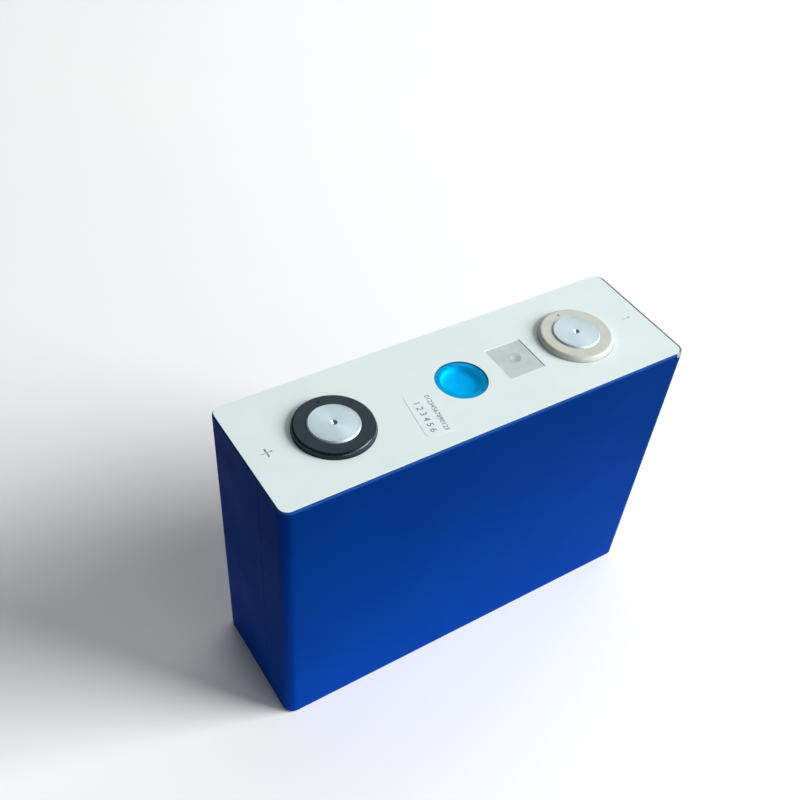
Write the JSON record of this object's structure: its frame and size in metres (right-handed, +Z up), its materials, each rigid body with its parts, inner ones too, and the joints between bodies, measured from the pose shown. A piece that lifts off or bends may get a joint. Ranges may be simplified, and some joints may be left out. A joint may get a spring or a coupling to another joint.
{
  "type": "prismatic battery cell",
  "caption": "Sealed prismatic lithium iron phosphate cell in a blue film wrap, with round weld terminals in plastic rings, a burst vent and a filling port under its white top sheet.",
  "frame": {"origin": "centre of the underside", "axes": "+X along the long side from the positive to the negative terminal, +Y to the rear broad face, +Z up through the terminals"},
  "size_m": [0.16, 0.05, 0.1188],
  "materials": {
    "can_aluminium": "drawn, satin",
    "lid_aluminium": "matte, milled",
    "pole_aluminium": "turned",
    "copper": "bare copper, satin",
    "blue_film": "satin gloss blue polyester film",
    "bottom_film": "blue polyester sheet",
    "white_sheet": "matte white polyester sheet",
    "label_paper": "matte label film",
    "vent_blue_film": "clear blue polyester film",
    "black_pps": "moulded black plastic, satin",
    "ivory_pps": "moulded ivory plastic, satin",
    "black_rubber": "moulded fluororubber",
    "natural_polypropylene": "moulded natural polypropylene",
    "liner_film": "clear polyester film",
    "cathode_coating": "dark grey coating on aluminium foil",
    "anode_coating": "graphite coating on copper foil",
    "separator_film": "white microporous film",
    "aluminium_foil": "bright foil",
    "copper_foil": "bright copper foil",
    "weld_tape": "amber tape",
    "roll_tape": "green tape"
  },
  "bodies": {
    "root": {"bottom_sheet": "bottom_film", "bottom_support": "natural_polypropylene", "can": "can_aluminium", "fill_plug": "black_rubber", "fill_seal_cap": "lid_aluminium", "front_anode": "anode_coating", "front_cathode": "cathode_coating", "front_inner_separator": "separator_film", "front_negative_tabs": "copper_foil", "front_outer_separator": "separator_film", "front_positive_tabs": "aluminium_foil", "front_roll_tape": "roll_tape", "insulating_bag": "liner_film", "lid_plate": "lid_aluminium", "negative_collector": "copper", "negative_lower_insulator": "natural_polypropylene", "negative_pole_base": "copper", "negative_pole_cap": "pole_aluminium", "negative_seal": "black_rubber", "negative_terminal_ring": "ivory_pps", "negative_weld_covers": "weld_tape", "positive_collector": "lid_aluminium", "positive_lower_insulator": "natural_polypropylene", "positive_pole": "pole_aluminium", "positive_seal": "black_rubber", "positive_terminal_ring": "black_pps", "positive_weld_covers": "weld_tape", "rear_anode": "anode_coating", "rear_cathode": "cathode_coating", "rear_inner_separator": "separator_film", "rear_negative_tabs": "copper_foil", "rear_outer_separator": "separator_film", "rear_positive_tabs": "aluminium_foil", "rear_roll_tape": "roll_tape", "serial_label": "label_paper", "top_sheet": "white_sheet", "vent_disc": "lid_aluminium", "vent_film": "vent_blue_film", "vent_guard": "natural_polypropylene", "wrap_film": "blue_film"}
  },
  "joints": []
}
